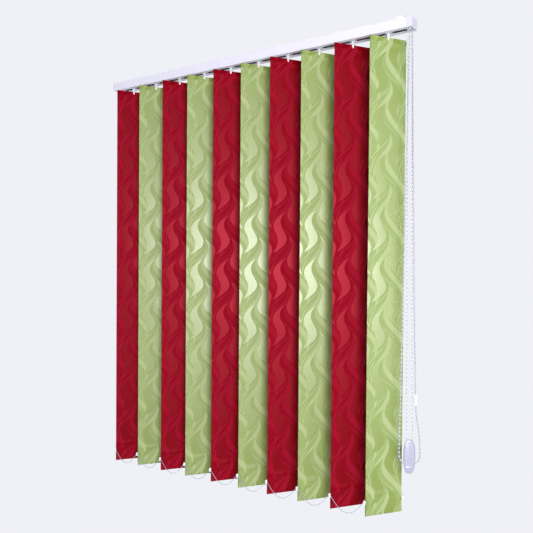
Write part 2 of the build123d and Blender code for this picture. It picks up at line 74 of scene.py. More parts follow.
bpy.ops.object.select_all(action="DESELECT")
bpy.ops.mesh.primitive_plane_add(size=floor_size, location=(0.0, 0.0, floor_height))
floor = bpy.context.object
floor.name = "studio_floor"
# the floor is as pale as the room from every side, and throws no light on the blind
floor_paint = bpy.data.materials.new("floor_paint")
floor_paint.use_nodes = True
floor_shader = floor_paint.node_tree.nodes["Principled BSDF"]
floor_shader.inputs["Base Color"].default_value = (0.0, 0.0, 0.0, 1.0)
floor_shader.inputs["Roughness"].default_value = 1.0
floor_shader.inputs["Specular IOR Level"].default_value = 0.0
floor_shader.inputs["Emission Color"].default_value = room_white
floor_shader.inputs["Emission Strength"].default_value = 1.0
floor.data.materials.append(floor_paint)
floor.visible_diffuse = False
floor.visible_glossy = False


def place_lamp(name, place, aim, width, height, power):
    lamp_data = bpy.data.lights.new(name, "AREA")
    lamp_data.shape = "RECTANGLE"
    lamp_data.size = width
    lamp_data.size_y = height
    lamp_data.energy = power
    lamp = bpy.data.objects.new(name, lamp_data)
    bpy.context.scene.collection.objects.link(lamp)
    facing = (Vector(aim) - Vector(place)).to_track_quat("-Z", "Y")
    lamp.matrix_world = Matrix.Translation(place) @ facing.to_matrix().to_4x4()
    return lamp


front_lamp = place_lamp("front_lamp", (2.06, -2.50, -0.60), (0.0, 0.0, -0.75), 0.80, 1.7, 86.0)
front_lamp.visible_glossy = False
satin_lamp = place_lamp("satin_lamp", (2.12, -2.45, -0.60), (-0.1, 0.0, -0.72), 1.10, 0.5, 275.0)
satin_lamp.visible_diffuse = False

eye = (1.0999, -1.7686, -0.7732)
view_yaw = radians(32.355)
view_pitch = radians(0.875)
view_roll = radians(0.433)
camera_data = bpy.data.cameras.new("camera")
camera_data.lens = 41.81
camera_data.sensor_width = 36.0
camera_data.shift_y = 0.0426
camera_data.clip_start = 0.05
camera = bpy.data.objects.new("camera", camera_data)
bpy.context.scene.collection.objects.link(camera)
camera.matrix_world = (
    Matrix.Translation(eye)
    @ Matrix.Rotation(view_yaw, 4, "Z")
    @ Matrix.Rotation(pi / 2 - view_pitch, 4, "X")
    @ Matrix.Rotation(view_roll, 4, "Z")
)
bpy.context.scene.camera = camera

# ---- Draw cord -----------------------------------------------------------------------------
# One length of twisted white polyester. Both ends are held in the weight; it rises into the
# rail, turns over the housing's horns and runs out and back round the drum in the far cap.
cord_thickness = 0.0018


def smooth_route(name, points):
    """A smooth open curve steered by these points."""
    data = bpy.data.curves.new(name, "CURVE")
    data.dimensions = "3D"
    data.resolution_u = 12
    line = data.splines.new("NURBS")
    line.points.add(len(points) - 1)
    for place, point in zip(points, line.points):
        point.co = (*place, 1.0)
    line.order_u = 3
    line.use_endpoint_u = True
    return data


def read_route(data):
    """The points along a smooth curve, as a bare copy of it gives them."""
    bare = bpy.data.objects.new("bare_route", data)
    mesh = bpy.data.meshes.new_from_object(bare)
    points = [vertex.co.copy() for vertex in mesh.vertices]
    bpy.data.objects.remove(bare)
    bpy.data.meshes.remove(mesh)
    return points


def walk(points, step, first):
    """Places and headings at even steps along a line of points."""
    stops = []
    travelled = 0.0
    wanted = first
    for start, end in zip(points, points[1:]):
        run = (end - start).length
        while run > 0 and travelled + run >= wanted:
            share = (wanted - travelled) / run
            stops.append((start.lerp(end, share), (end - start).normalized()))
            wanted += step
        travelled += run
    return stops, travelled


cord_route = [
    (0.48265, -0.02219, -1.250),
    (0.47160, -0.01754, -0.0248),
    (0.4715, -0.0175, -0.014),
    (0.4607, -0.0175, -0.014),
    (-0.7073, -0.0175, -0.014),
    (-0.7181, -0.0175, -0.014),
    (-0.7181, 0.0175, -0.014),
    (-0.7073, 0.0175, -0.014),
    (0.4607, 0.0175, -0.014),
    (0.4715, 0.0175, -0.014),
    (0.47173, 0.01726, -0.0248),
    (0.49735, -0.01181, -1.250),
]
cord_data = smooth_route("draw_cord_line", cord_route)
_, cord_length = walk(read_route(cord_data), step=1.0, first=0.5)
cord_data.bevel_depth = cord_thickness / 2
cord_data.bevel_resolution = 2
cord_data.use_fill_caps = True
draw_cord = bpy.data.objects.new("draw_cord_line", cord_data)
bpy.context.scene.collection.objects.link(draw_cord)

cord_finish = bpy.data.materials.new("twisted_cord")
cord_finish.use_nodes = True
tree = cord_finish.node_tree
cord_shader = tree.nodes["Principled BSDF"]
cord_shader.inputs["Roughness"].default_value = 0.7
cord_place = tree.nodes.new("ShaderNodeTexCoord")
cord_twist = tree.nodes.new("ShaderNodeTexWave")
cord_twist.wave_type = "BANDS"
cord_twist.bands_direction = "DIAGONAL"
cord_twist.inputs["Scale"].default_value = 260.0
# painted shade: the base colour runs in close dark and light grey bands along the cord, standing in
# for the shade between the twisted strands of the white cord
cord_strand_shade = tree.nodes.new("ShaderNodeTexWave")
cord_strand_shade.bands_direction = "Z"
cord_strand_shade.inputs["Scale"].default_value = 26.5
cord_shade = tree.nodes.new("ShaderNodeValToRGB")
cord_shade.color_ramp.elements[0].color = (0.27, 0.31, 0.36, 1.0)
cord_shade.color_ramp.elements[0].position = 0.1
cord_shade.color_ramp.elements[1].color = (0.68, 0.70, 0.78, 1.0)
cord_shade.color_ramp.elements[1].position = 0.5
cord_bump = tree.nodes.new("ShaderNodeBump")
cord_bump.inputs["Strength"].default_value = 0.5
cord_bump.inputs["Distance"].default_value = 0.0003
tree.links.new(cord_place.outputs["Object"], cord_twist.inputs["Vector"])
tree.links.new(cord_place.outputs["Object"], cord_strand_shade.inputs["Vector"])
tree.links.new(cord_strand_shade.outputs["Fac"], cord_shade.inputs["Fac"])
tree.links.new(cord_shade.outputs["Color"], cord_shader.inputs["Base Color"])
tree.links.new(cord_twist.outputs["Fac"], cord_bump.inputs["Height"])
tree.links.new(cord_bump.outputs["Normal"], cord_shader.inputs["Normal"])
draw_cord.data.materials.append(cord_finish)

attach(draw_cord, "root")
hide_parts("draw_cord")

# ---- Bead chain ----------------------------------------------------------------------------
# An endless loop of oval moulded beads on a thin string, joined by one long clear connector.
# It hangs from the sprocket in the housing and passes through the foot of the cord weight.
bead_pitch = 0.012
bead_radius = 0.0025
bead_swell = 1.08
bead_stretch = 1.55
string_radius = 0.0007
connector_top = Vector((0.5005, 0.001, -1.107))
connector_foot = Vector((0.50139, 0.00107, -1.13999))
connector_radius = 0.0036
connector_length = 0.033
groove_half = 0.006
groove_waist = 0.84

chain_route = [
    connector_foot,
    (0.50220, 0.00113, -1.16998),
    (0.5125, 0.001, -1.214),
    (0.5155, 0.00098, -1.262),
    (0.5155, 0.00118, -1.310),
    (0.4645, -0.03498, -1.310),
    (0.46517, -0.03417, -1.2476),
    (0.4783, -0.0184, -0.0295),
    (0.4785, -0.01815, -0.01045),
    (0.4785, 0.00095, -0.01045),
    (0.47885, 0.00094, -0.0295),
    (0.49125, 0.00068, -0.701),
    (0.495, 0.0006, -0.904),
    connector_top,
]
chain_data = smooth_route("bead_chain_route", chain_route)
chain_path = read_route(chain_data)
bead_stops, chain_length = walk(chain_path, bead_pitch, bead_pitch / 2)

chain_data.bevel_depth = string_radius
chain_data.bevel_resolution = 0
chain_data.resolution_u = 6
string_carrier = bpy.data.objects.new("string", chain_data)
string_mesh = bpy.data.meshes.new_from_object(string_carrier)
string_faces = len(string_mesh.polygons)
bpy.data.objects.remove(string_carrier)
bead_chain = bpy.data.objects.new("bead_chain", string_mesh)
bpy.context.scene.collection.objects.link(bead_chain)

bpy.ops.object.select_all(action="DESELECT")
bpy.ops.mesh.primitive_uv_sphere_add(segments=10, ring_count=6, radius=bead_radius * bead_swell)
bead = bpy.context.object
bpy.ops.object.mode_set(mode="EDIT")
bpy.ops.mesh.select_all(action="SELECT")
bpy.ops.transform.resize(value=(1.0, 1.0, bead_stretch))
bpy.ops.object.mode_set(mode="OBJECT")
bpy.ops.object.shade_smooth()
shape = bmesh.new()
shape.from_mesh(bead_chain.data)
for place, heading in bead_stops:
    one = bead.data.copy()
    one.transform(Matrix.Translation(place) @ heading.to_track_quat("Z", "Y").to_matrix().to_4x4())
    shape.from_mesh(one)
    bpy.data.meshes.remove(one)
shape.to_mesh(bead_chain.data)
shape.free()
bpy.data.objects.remove(bead)
for face in bead_chain.data.polygons:
    face.use_smooth = True


def moulded(name, tint, roughness, grain_scale, grain_depth, tint_change=0.04):
    """White moulded plastic: a little cloudy in colour, with a fine spark-eroded grain."""
    finish = bpy.data.materials.new(name)
    finish.use_nodes = True
    tree = finish.node_tree
    shader = tree.nodes["Principled BSDF"]
    place = tree.nodes.new("ShaderNodeTexCoord")
    cloud = tree.nodes.new("ShaderNodeTexNoise")
    cloud.inputs["Scale"].default_value = 60.0
    cloud.inputs["Detail"].default_value = 3.0
    shade = tree.nodes.new("ShaderNodeValToRGB")
    shade.color_ramp.elements[0].position = 0.3
    shade.color_ramp.elements[0].color = (*[c * (1 - tint_change) for c in tint], 1.0)
    shade.color_ramp.elements[1].position = 0.7
    shade.color_ramp.elements[1].color = (*tint, 1.0)
    grain = tree.nodes.new("ShaderNodeTexNoise")
    grain.inputs["Scale"].default_value = grain_scale
    gloss = tree.nodes.new("ShaderNodeMapRange")
    gloss.inputs["To Min"].default_value = roughness - 0.06
    gloss.inputs["To Max"].default_value = roughness + 0.08
    bump = tree.nodes.new("ShaderNodeBump")
    bump.inputs["Strength"].default_value = 0.25
    bump.inputs["Distance"].default_value = grain_depth
    for texture in (cloud, grain):
        tree.links.new(place.outputs["Object"], texture.inputs["Vector"])
    tree.links.new(cloud.outputs["Fac"], shade.inputs["Fac"])
    tree.links.new(shade.outputs["Color"], shader.inputs["Base Color"])
    tree.links.new(cloud.outputs["Fac"], gloss.inputs["Value"])
    tree.links.new(gloss.outputs["Result"], shader.inputs["Roughness"])
    tree.links.new(grain.outputs["Fac"], bump.inputs["Height"])
    tree.links.new(bump.outputs["Normal"], shader.inputs["Normal"])
    return finish


bead_chain.data.materials.clear()
bead_chain.data.materials.append(moulded("bead_plastic", (0.44, 0.47, 0.55), 0.3, 900.0, 0.00005))
bead_chain.data.materials.append(moulded("bead_string", (0.30, 0.32, 0.38), 0.8, 2000.0, 0.0001))
for face in bead_chain.data.polygons[:string_faces]:
    face.material_index = 1

bpy.ops.object.select_all(action="DESELECT")
bpy.ops.mesh.primitive_cylinder_add(vertices=20, radius=connector_radius, depth=connector_length)
connector = bpy.context.object
connector.name = "chain_connector"
bpy.ops.object.mode_set(mode="EDIT")
bpy.ops.mesh.select_mode(type="FACE")
bpy.ops.mesh.select_all(action="SELECT")
bpy.ops.mesh.bisect(plane_co=(0, 0, groove_half), plane_no=(0, 0, 1))
bpy.ops.mesh.select_all(action="SELECT")
bpy.ops.mesh.bisect(plane_co=(0, 0, -groove_half), plane_no=(0, 0, 1))
bpy.ops.object.mode_set(mode="OBJECT")
for vertex in connector.data.vertices:
    waist = groove_waist if abs(vertex.co.z) < groove_half + 0.001 else 1.0
    vertex.co.x *= waist
    vertex.co.y *= waist
for kind, settings in (
    ("BEVEL", {"width": 0.0012, "segments": 3}),
    ("SUBSURF", {"levels": 1, "render_levels": 1}),
):
    change = connector.modifiers.new(kind.lower(), kind)
    for key, value in settings.items():
        setattr(change, key, value)
    bpy.ops.object.modifier_apply(modifier=change.name)
bpy.ops.object.shade_smooth()
way = (connector_top - connector_foot).normalized()
facing = way.to_track_quat("Z", "Y").to_matrix().to_4x4()
connector.data.transform(Matrix.Translation((connector_top + connector_foot) / 2) @ facing)
connector_finish = moulded("connector_plastic", (0.9, 0.9, 0.93), 0.22, 500.0, 0.00004)
connector.data.materials.append(connector_finish)

for piece in (bead_chain, connector):
    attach(piece, "root")
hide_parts("tilt_chain")

# ---- Link chains ---------------------------------------------------------------------------
# Two thin moulded chains, one along each face, clipped to the bottom weight of every vane so
# that the strips stay evenly spaced. Each span hangs in a shallow curve between two clips.
vane_spacing = 0.116
first_vane = -0.639
vane_places = [first_vane + vane_spacing * number for number in range(10)]
vane_turn = radians(54.0)
clip_reach = 0.0668
clip_height = -1.438
span_sag = 0.044
span_half = 0.0542
link_step = 0.0041
link_length = 0.0058
link_width = 0.0024
link_wire = 0.0007

# painted shade: the white links are coloured mid grey, standing in for the grey shaded outline of
# such thin links
link_finish = moulded("link_plastic", (0.40, 0.43, 0.50), 0.35, 900.0, 0.00004)

bpy.ops.object.select_all(action="DESELECT")
bpy.ops.mesh.primitive_torus_add(
    major_segments=8, minor_segments=4,
    major_radius=link_width / 2 - link_wire, minor_radius=link_wire,
)
link = bpy.context.object
bpy.ops.object.mode_set(mode="EDIT")
bpy.ops.mesh.select_all(action="SELECT")
bpy.ops.transform.resize(value=(link_length / link_width, 1.0, 1.0))
bpy.ops.object.mode_set(mode="OBJECT")
bpy.ops.object.shade_smooth()

for side, body in ((-1, "front_link_chain"), (1, "rear_link_chain")):
    across = side * clip_reach * cos(vane_turn)
    depth = side * clip_reach * sin(vane_turn)
    link_route = []
    for place in vane_places[:-1]:
        middle = place + across + vane_spacing / 2
        for share in (-1, -0.62, -0.22, 0.22, 0.62, 1):
            height = clip_height - span_sag * (1 - share**2)
            link_route.append((middle + share * span_half, depth, height))
    link_path = read_route(smooth_route(body + "_route", link_route))
    stops, long = walk(link_path, link_step, link_step / 2)
    shape = bmesh.new()
    for number, (place, heading) in enumerate(stops):
        one = link.data.copy()
        turn = Matrix.Rotation(pi / 2 * (number % 2) + pi / 4, 4, "X")
        facing = heading.to_track_quat("X", "Z").to_matrix().to_4x4()
        one.transform(Matrix.Translation(place) @ facing @ turn)
        shape.from_mesh(one)
        bpy.data.meshes.remove(one)
    mesh = bpy.data.meshes.new(body + "_links")
    shape.to_mesh(mesh)
    shape.free()
    for face in mesh.polygons:
        face.use_smooth = True
    links = bpy.data.objects.new(body + "_links", mesh)
    bpy.context.scene.collection.objects.link(links)
    links.data.materials.append(link_finish)
    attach(links, body)
    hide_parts(body)
    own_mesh(links)
bpy.data.objects.remove(link)

# ---- Vanes ---------------------------------------------------------------------------------
# Ten strips of satin-figured polyester, alternately red and green. Each is one length of
# cloth, folded over and sewn into a small pocket at the top and a deep one for the weight.
vane_width = 0.127
cloth_thickness = 0.0005
vane_top = -0.045
vane_bottom = -1.480
hook_notch = 0.0055
notch_foot = -0.0505
hem_foot = -0.065
row_step = 0.03
cup_depth = 0.0012
roll_depth = 0.0007
cloth_play = 0.00004

# the cloth's line from the back of the top hem, over the fold, down the front and up again
top_hem = [
    (0.0005, -0.067), (0.0005, -0.065), (0.001, -0.0620), (0.001, notch_foot), (0.001, -0.0466),
    (0.0006, -0.0454), (0.0, -0.04526), (-0.0006, -0.0454), (-0.001, -0.0466), (-0.001, notch_foot),
    (-0.001, -0.0620), (0.0, -0.065),
]
fall = [(0.0, hem_foot - row_step * row) for row in range(1, 45)]
bottom_hem = [
    (0.0, -1.415), (-0.0007, -1.4175), (-0.0015, -1.4205), (-0.0015, -1.450), (-0.0015, -1.4783),
    (-0.0009, -1.4794), (0.0, -1.47974), (0.0009, -1.4794), (0.0015, -1.4783), (0.0015, -1.450),
    (0.0015, -1.4205), (0.0005, -1.417), (0.0005, -1.415),
]
cloth_line = top_hem + fall + bottom_hem

bpy.ops.object.select_all(action="DESELECT")
bpy.ops.mesh.primitive_plane_add(size=1.0)
strip = bpy.context.object
strip.name = "vane_strip"
bpy.ops.object.mode_set(mode="EDIT")
bpy.ops.mesh.select_mode(type="EDGE")
shape = bmesh.from_edit_mesh(strip.data)
first, second = cloth_line[0], cloth_line[1]
for vertex in shape.verts:
    depth, height = second if vertex.co.y > 0 else first
    vertex.co = (vertex.co.x * vane_width, depth, height)
bpy.ops.mesh.select_all(action="DESELECT")
shape.edges.ensure_lookup_table()
for edge in shape.edges:
    edge.select_set(all(abs(v.co.z - second[1]) < 1e-5 for v in edge.verts))
bmesh.update_edit_mesh(strip.data)
for (depth, height), (next_depth, next_height) in zip(cloth_line[1:], cloth_line[2:]):
    bpy.ops.mesh.extrude_region_move(
        TRANSFORM_OT_translate={"value": (0.0, next_depth - depth, next_height - height)}
    )
for column in (
    -0.0545, -0.042, -0.030, -0.018, -0.009, -hook_notch / 2,
    hook_notch / 2, 0.009, 0.018, 0.030, 0.042, 0.0545,
):
    bpy.ops.mesh.select_all(action="SELECT")
    bpy.ops.mesh.bisect(plane_co=(column, 0, 0), plane_no=(1, 0, 0))
bpy.ops.mesh.select_mode(type="FACE")
bpy.ops.mesh.select_all(action="DESELECT")
shape = bmesh.from_edit_mesh(strip.data)
for face in shape.faces:
    middle = face.calc_center_median()
    face.select_set(abs(middle.x) < hook_notch / 2 and middle.z > notch_foot)
bmesh.update_edit_mesh(strip.data)
bpy.ops.mesh.delete(type="FACE")
bpy.ops.object.mode_set(mode="OBJECT")
# a hanging strip is never quite flat: it cups a little and rolls very slightly from side to side
for vertex in strip.data.vertices:
    share = (vertex.co.z - vane_bottom) / (vane_top - vane_bottom)
    free = max(0.0, sin(pi * share)) ** 0.6
    cup = cup_depth * (1 - (2 * vertex.co.x / vane_width) ** 2)
    roll = roll_depth * sin(9.0 * share + 30.0 * vertex.co.x)
    vertex.co.y += free * (roll - cup)
cloth_map = strip.data.uv_layers.new(name="cloth")
for loop in strip.data.loops:
    corner = strip.data.vertices[loop.vertex_index].co
    cloth_map.data[loop.index].uv = (corner.x + vane_width / 2, vane_top - corner.z)
for kind, settings in (
    ("SUBSURF", {"subdivision_type": "SIMPLE", "levels": 1, "render_levels": 1}),
    ("SOLIDIFY", {"thickness": cloth_thickness - cloth_play, "offset": 0.0}),
):
    change = strip.modifiers.new(kind.lower(), kind)
    for key, value in settings.items():
        setattr(change, key, value)
    bpy.ops.object.modifier_apply(modifier=change.name)
bpy.ops.object.select_all(action="DESELECT")
strip.select_set(True)
bpy.context.view_layer.objects.active = strip
bpy.ops.object.mode_set(mode="EDIT")
bpy.ops.mesh.select_all(action="SELECT")
bpy.ops.mesh.normals_make_consistent(inside=False)
bpy.ops.object.mode_set(mode="OBJECT")
bpy.ops.object.shade_smooth_by_angle(angle=radians(40))


def figured_cloth(name, ground, ribbon, satin, thread, line, left_edge_colour, sheen):
    """Woven cloth: a dull ground, flame-shaped satin leaves and lighter ribbons between them."""
    finish = bpy.data.materials.new(name)
    finish.use_nodes = True
    tree = finish.node_tree
    shader = tree.nodes["Principled BSDF"]

    def sum_of(kind, first, second=None, third=None):
        """One step of arithmetic on values that differ from place to place on the cloth."""
        step = tree.nodes.new("ShaderNodeMath")
        step.operation = kind
        for socket, value in zip(step.inputs, (first, second, third)):
            if isinstance(value, (int, float)):
                socket.default_value = value
            elif value is not None:
                tree.links.new(value, socket)
        return step.outputs["Value"]

    def soft_step(value, low, high):
        step = tree.nodes.new("ShaderNodeMapRange")
        step.interpolation_type = "SMOOTHSTEP"
        step.inputs["From Min"].default_value = low
        step.inputs["From Max"].default_value = high
        tree.links.new(value, step.inputs["Value"])
        return step.outputs["Result"]

    def figure(top, long, head, foot, sway, width, power=1.0, bow=0.0, skew=1.0):
        """How far inside a flame-shaped figure each place is, in metres; negative outside."""
        down = sum_of("FRACT", sum_of("DIVIDE", sum_of("SUBTRACT", along, top), repeat_down))
        share = sum_of("MINIMUM", sum_of("MULTIPLY", down, repeat_down / long), 1.0)
        half_turn = sum_of("MULTIPLY", share, pi)
        swing = sum_of("MULTIPLY", sum_of("SINE", sum_of("MULTIPLY", half_turn, 2.0)), sway)
        swing = sum_of("ADD", swing, sum_of("MULTIPLY", sum_of("SINE", half_turn), bow))
        middle = sum_of("ADD", sum_of("MULTIPLY_ADD", share, foot - head, head), swing)
        fullness = sum_of("SINE", sum_of("MULTIPLY", sum_of("POWER", share, skew), pi))
        swell = sum_of("POWER", sum_of("MAXIMUM", fullness, 0.0), power)
        # the same figure comes round again one repeat to either side
        aside = sum_of("SUBTRACT", cell, middle)
        aside = sum_of("WRAP", aside, repeat_across / 2, -repeat_across / 2)
        return sum_of("SUBTRACT", sum_of("MULTIPLY", swell, width / 2), sum_of("ABSOLUTE", aside))

    cloth = tree.nodes.new("ShaderNodeUVMap")
    cloth.uv_map = "cloth"
    parts = tree.nodes.new("ShaderNodeSeparateXYZ")
    tree.links.new(cloth.outputs["UV"], parts.inputs["Vector"])
    cell = parts.outputs["X"]
    along = parts.outputs["Y"]
    repeat_down = 0.1535
    repeat_across = 0.097
    satin_lean = 0.26
    top_seam_at = 0.0208
    low_seam_at = 1.3712
    low_pull_at = 1.3745
    seam_half = 0.0004
    stitch_pitch = 0.003
    side_band = 0.0009
    thread_pitch = 0.0006

    # each figure: how far down it starts and how long it is, where across its head and its
    # foot lie, how far it swings to and fro, how wide it is, and then how its outline fills out
    leaves = sum_of(
        "MAXIMUM",
        figure(0.040, 0.140, 0.061, 0.015, -0.0190, 0.034, 0.85, skew=1.2),
        figure(0.122, 0.128, 0.068, 0.106, 0.0150, 0.034, 0.80, skew=1.15),
    )
    ribbons = sum_of(
        "MAXIMUM",
        figure(0.125, 0.143, 0.074, 0.017, 0.011, 0.017, 0.9, bow=0.006),
        figure(0.038, 0.1515, 0.064, 0.125, -0.0155, 0.021, 0.9, bow=0.003, skew=0.9),
    )
    hair_lines = sum_of(
        "MAXIMUM",
        sum_of(
            "MAXIMUM",
            figure(0.148, 0.067, 0.069, 0.006, 0.002, 0.0022, 0.4, bow=-0.003),
            figure(0.098, 0.042, 0.052, 0.097, -0.003, 0.0020, 0.4),
        ),
        sum_of(
            "MAXIMUM",
            figure(0.036, 0.070, 0.105, 0.106, 0.0, 0.0020, 0.4, bow=-0.009),
            figure(0.040, 0.060, 0.032, 0.008, 0.0, 0.0020, 0.4, bow=-0.006),
        ),
    )
    in_leaf = soft_step(leaves, -0.0003, 0.0003)
    in_ribbon = soft_step(ribbons, -0.0003, 0.0003)
    in_hair = soft_step(hair_lines, -0.0002, 0.0003)
    # edge: a thin band just outside each leaf, for the painted shade that the raised satin would
    # throw on the ground beside it
    edge = sum_of("MULTIPLY", soft_step(leaves, -0.0010, 0.0), sum_of("SUBTRACT", 1.0, in_leaf))

    def blended(fac, low, high):
        mix = tree.nodes.new("ShaderNodeMix")
        mix.data_type = "RGBA"
        tree.links.new(fac, mix.inputs["Factor"])
        for socket, value in ((mix.inputs["A"], low), (mix.inputs["B"], high)):
            if isinstance(value, tuple):
                socket.default_value = (*value, 1.0)
            else:
                tree.links.new(value, socket)
        return mix.outputs["Result"]

    # the dye varies a little from place to place, and a thicker thread shows here and there
    dye = tree.nodes.new("ShaderNodeTexNoise")
    dye.inputs["Scale"].default_value = 35.0
    dye.inputs["Detail"].default_value = 4.0
    tree.links.new(cloth.outputs["UV"], dye.inputs["Vector"])
    slub = tree.nodes.new("ShaderNodeTexNoise")
    slub.inputs["Scale"].default_value = 1.0
    slub.inputs["Detail"].default_value = 2.0
    streak = tree.nodes.new("ShaderNodeMapping")
    streak.inputs["Scale"].default_value = (60.0, 1500.0, 1.0)
    tree.links.new(cloth.outputs["UV"], streak.inputs["Vector"])
    tree.links.new(streak.outputs["Vector"], slub.inputs["Vector"])

    colour = blended(in_ribbon, ground, ribbon)
    colour = blended(in_hair, colour, thread)
    outline = sum_of(
        "SUBTRACT", soft_step(ribbons, -0.0009, -0.0004), soft_step(ribbons, 0.0, 0.0005)
    )
    colour = blended(sum_of("MULTIPLY", outline, 0.6), colour, thread)
    # painted shade: the band round each leaf takes the dark line colour
    colour = blended(sum_of("MULTIPLY", edge, 0.7), colour, line)
    colour = blended(in_leaf, colour, satin)
    # sewn seams: a row of short stitches under the top fold and above the bottom pocket
    stitch = sum_of("LESS_THAN", sum_of("FRACT", sum_of("DIVIDE", cell, stitch_pitch)), 0.62)
    top_seam = sum_of("COMPARE", along, top_seam_at, seam_half)
    low_seam = sum_of("COMPARE", along, low_seam_at, seam_half)
    seam = sum_of("MULTIPLY", stitch, sum_of("ADD", top_seam, low_seam))
    colour = blended(sum_of("MULTIPLY", seam, 0.6), colour, line)
    # a narrow band along the left edge alone is coloured darker and more saturated than the ground
    at_side = sum_of("LESS_THAN", cell, side_band)
    colour = blended(sum_of("MULTIPLY", at_side, 0.8), colour, left_edge_colour)
    dyed = sum_of("MULTIPLY", dye.outputs["Fac"], 0.10)
    vary = sum_of("ADD", dyed, sum_of("MULTIPLY", slub.outputs["Fac"], 0.16))
    tone = tree.nodes.new("ShaderNodeHueSaturation")
    tree.links.new(sum_of("ADD", vary, 0.87), tone.inputs["Value"])
    tree.links.new(colour, tone.inputs["Color"])
    tree.links.new(tone.outputs["Color"], shader.inputs["Base Color"])

    rough = sum_of("SUBTRACT", 0.62, sum_of("MULTIPLY", in_leaf, 0.235))
    rough = sum_of("ADD", rough, sum_of("MULTIPLY", slub.outputs["Fac"], 0.06))
    tree.links.new(rough, shader.inputs["Roughness"])
    shader.inputs["Specular Tint"].default_value = (*sheen, 1.0)
    # the satin leaves shine most, the ground less and the ribbons least; beside the two seams
    # the pull of the stitches breaks the shine up
    from_low_seam = sum_of("ABSOLUTE", sum_of("SUBTRACT", along, low_pull_at))
    unpulled = sum_of(
        "MULTIPLY", soft_step(from_low_seam, 0.003, 0.009), soft_step(along, 0.008, 0.060)
    )
    shine = sum_of("MULTIPLY_ADD", in_leaf, 0.16, 0.30)
    shine = sum_of("MULTIPLY", shine, sum_of("MULTIPLY_ADD", in_ribbon, -0.5, 1.0))
    shine = sum_of("MAXIMUM", shine, sum_of("MULTIPLY", in_leaf, 0.46))
    unpulled = sum_of("MULTIPLY_ADD", unpulled, 0.7, 0.3)
    tree.links.new(sum_of("MULTIPLY", shine, unpulled), shader.inputs["Specular IOR Level"])

    # warp and weft cross under and over, and the satin is combed one way only
    warp = sum_of("SINE", sum_of("MULTIPLY", cell, 2 * pi / thread_pitch))
    weft = sum_of("SINE", sum_of("MULTIPLY", along, 2 * pi / thread_pitch))
    weave = sum_of("MULTIPLY", warp, weft)
    combed = sum_of("MULTIPLY", weft, in_leaf)
    relief = sum_of(
        "ADD", sum_of("MULTIPLY", weave, 0.00003), sum_of("MULTIPLY", combed, 0.00002)
    )
    raised = sum_of("ADD", relief, sum_of("MULTIPLY", in_leaf, 0.00012))
    raised = sum_of("SUBTRACT", raised, sum_of("MULTIPLY", seam, 0.00004))
    # the long floats of the satin lean to one side, so the leaves shine off the cloth's own face
    lean = tree.nodes.new("ShaderNodeNormalMap")
    lean.uv_map = "cloth"
    upright, leaning = (0.5, 0.5, 1.0), (0.5 - satin_lean / 2, 0.5, 0.98)
    tree.links.new(blended(in_leaf, upright, leaning), lean.inputs["Color"])
    bump = tree.nodes.new("ShaderNodeBump")
    bump.inputs["Strength"].default_value = 0.5
    bump.inputs["Distance"].default_value = 1.0
    tree.links.new(lean.outputs["Normal"], bump.inputs["Normal"])
    tree.links.new(raised, bump.inputs["Height"])
    tree.links.new(bump.outputs["Normal"], shader.inputs["Normal"])
    return finish


# line is the colour of the stitches and also of the painted shade round each leaf
green_cloth = figured_cloth(
    "green_cloth",
    ground=(0.27, 0.355, 0.115), ribbon=(0.385, 0.46, 0.21), satin=(0.20, 0.275, 0.045),
    thread=(0.47, 0.54, 0.29), line=(0.22, 0.29, 0.08), left_edge_colour=(0.09, 0.25, 0.05),
    sheen=(1.0, 1.0, 0.97),
)
red_cloth = figured_cloth(
    "red_cloth",
    ground=(0.235, 0.001, 0.010), ribbon=(0.30, 0.005, 0.02), satin=(0.175, 0.0, 0.003),
    thread=(0.38, 0.02, 0.04), line=(0.15, 0.001, 0.006), left_edge_colour=(0.12, 0.001, 0.008),
    sheen=(0.62, 0.07, 0.11),
)

for number, place in enumerate(vane_places, start=1):
    cloth_mesh = strip.data.copy()
    cloth_mesh.transform(Matrix.Translation((place, 0, 0)) @ Matrix.Rotation(vane_turn, 4, "Z"))
    vane = bpy.data.objects.new(f"vane_cloth_{number}", cloth_mesh)
    bpy.context.scene.collection.objects.link(vane)
    is_red = number % 2 == 1
    vane.data.materials.append(red_cloth if is_red else green_cloth)
    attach(vane, f"vane_{number}")
    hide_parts(f"vane_{number}")
bpy.data.objects.remove(strip)


# ---- Headrail, housing, cap and brackets -----------------------------------------------------
# The rail is an extruded aluminium channel with a satin white powder coat; the housing and the
# far cap are moulded to fit its section, and two painted spring-steel clips hold it up.
def finish_of(names, finish):
    for name in names:
        node = nodes[name]
        node.data.materials.clear()
        node.data.materials.append(finish)


def powder_coat(name, tint, roughness, peel_scale):
    """Sprayed paint: an even tint with fine orange peel, under a thin gloss."""
    finish = moulded(name, tint, roughness, peel_scale, 0.00004, 0.02)
    tree = finish.node_tree
    shader = tree.nodes["Principled BSDF"]
    shader.inputs["Coat Weight"].default_value = 0.25
    shader.inputs["Coat Roughness"].default_value = 0.3
    return finish


rail_finish = powder_coat("rail_paint", (0.74, 0.73, 0.83), 0.42, 700.0)
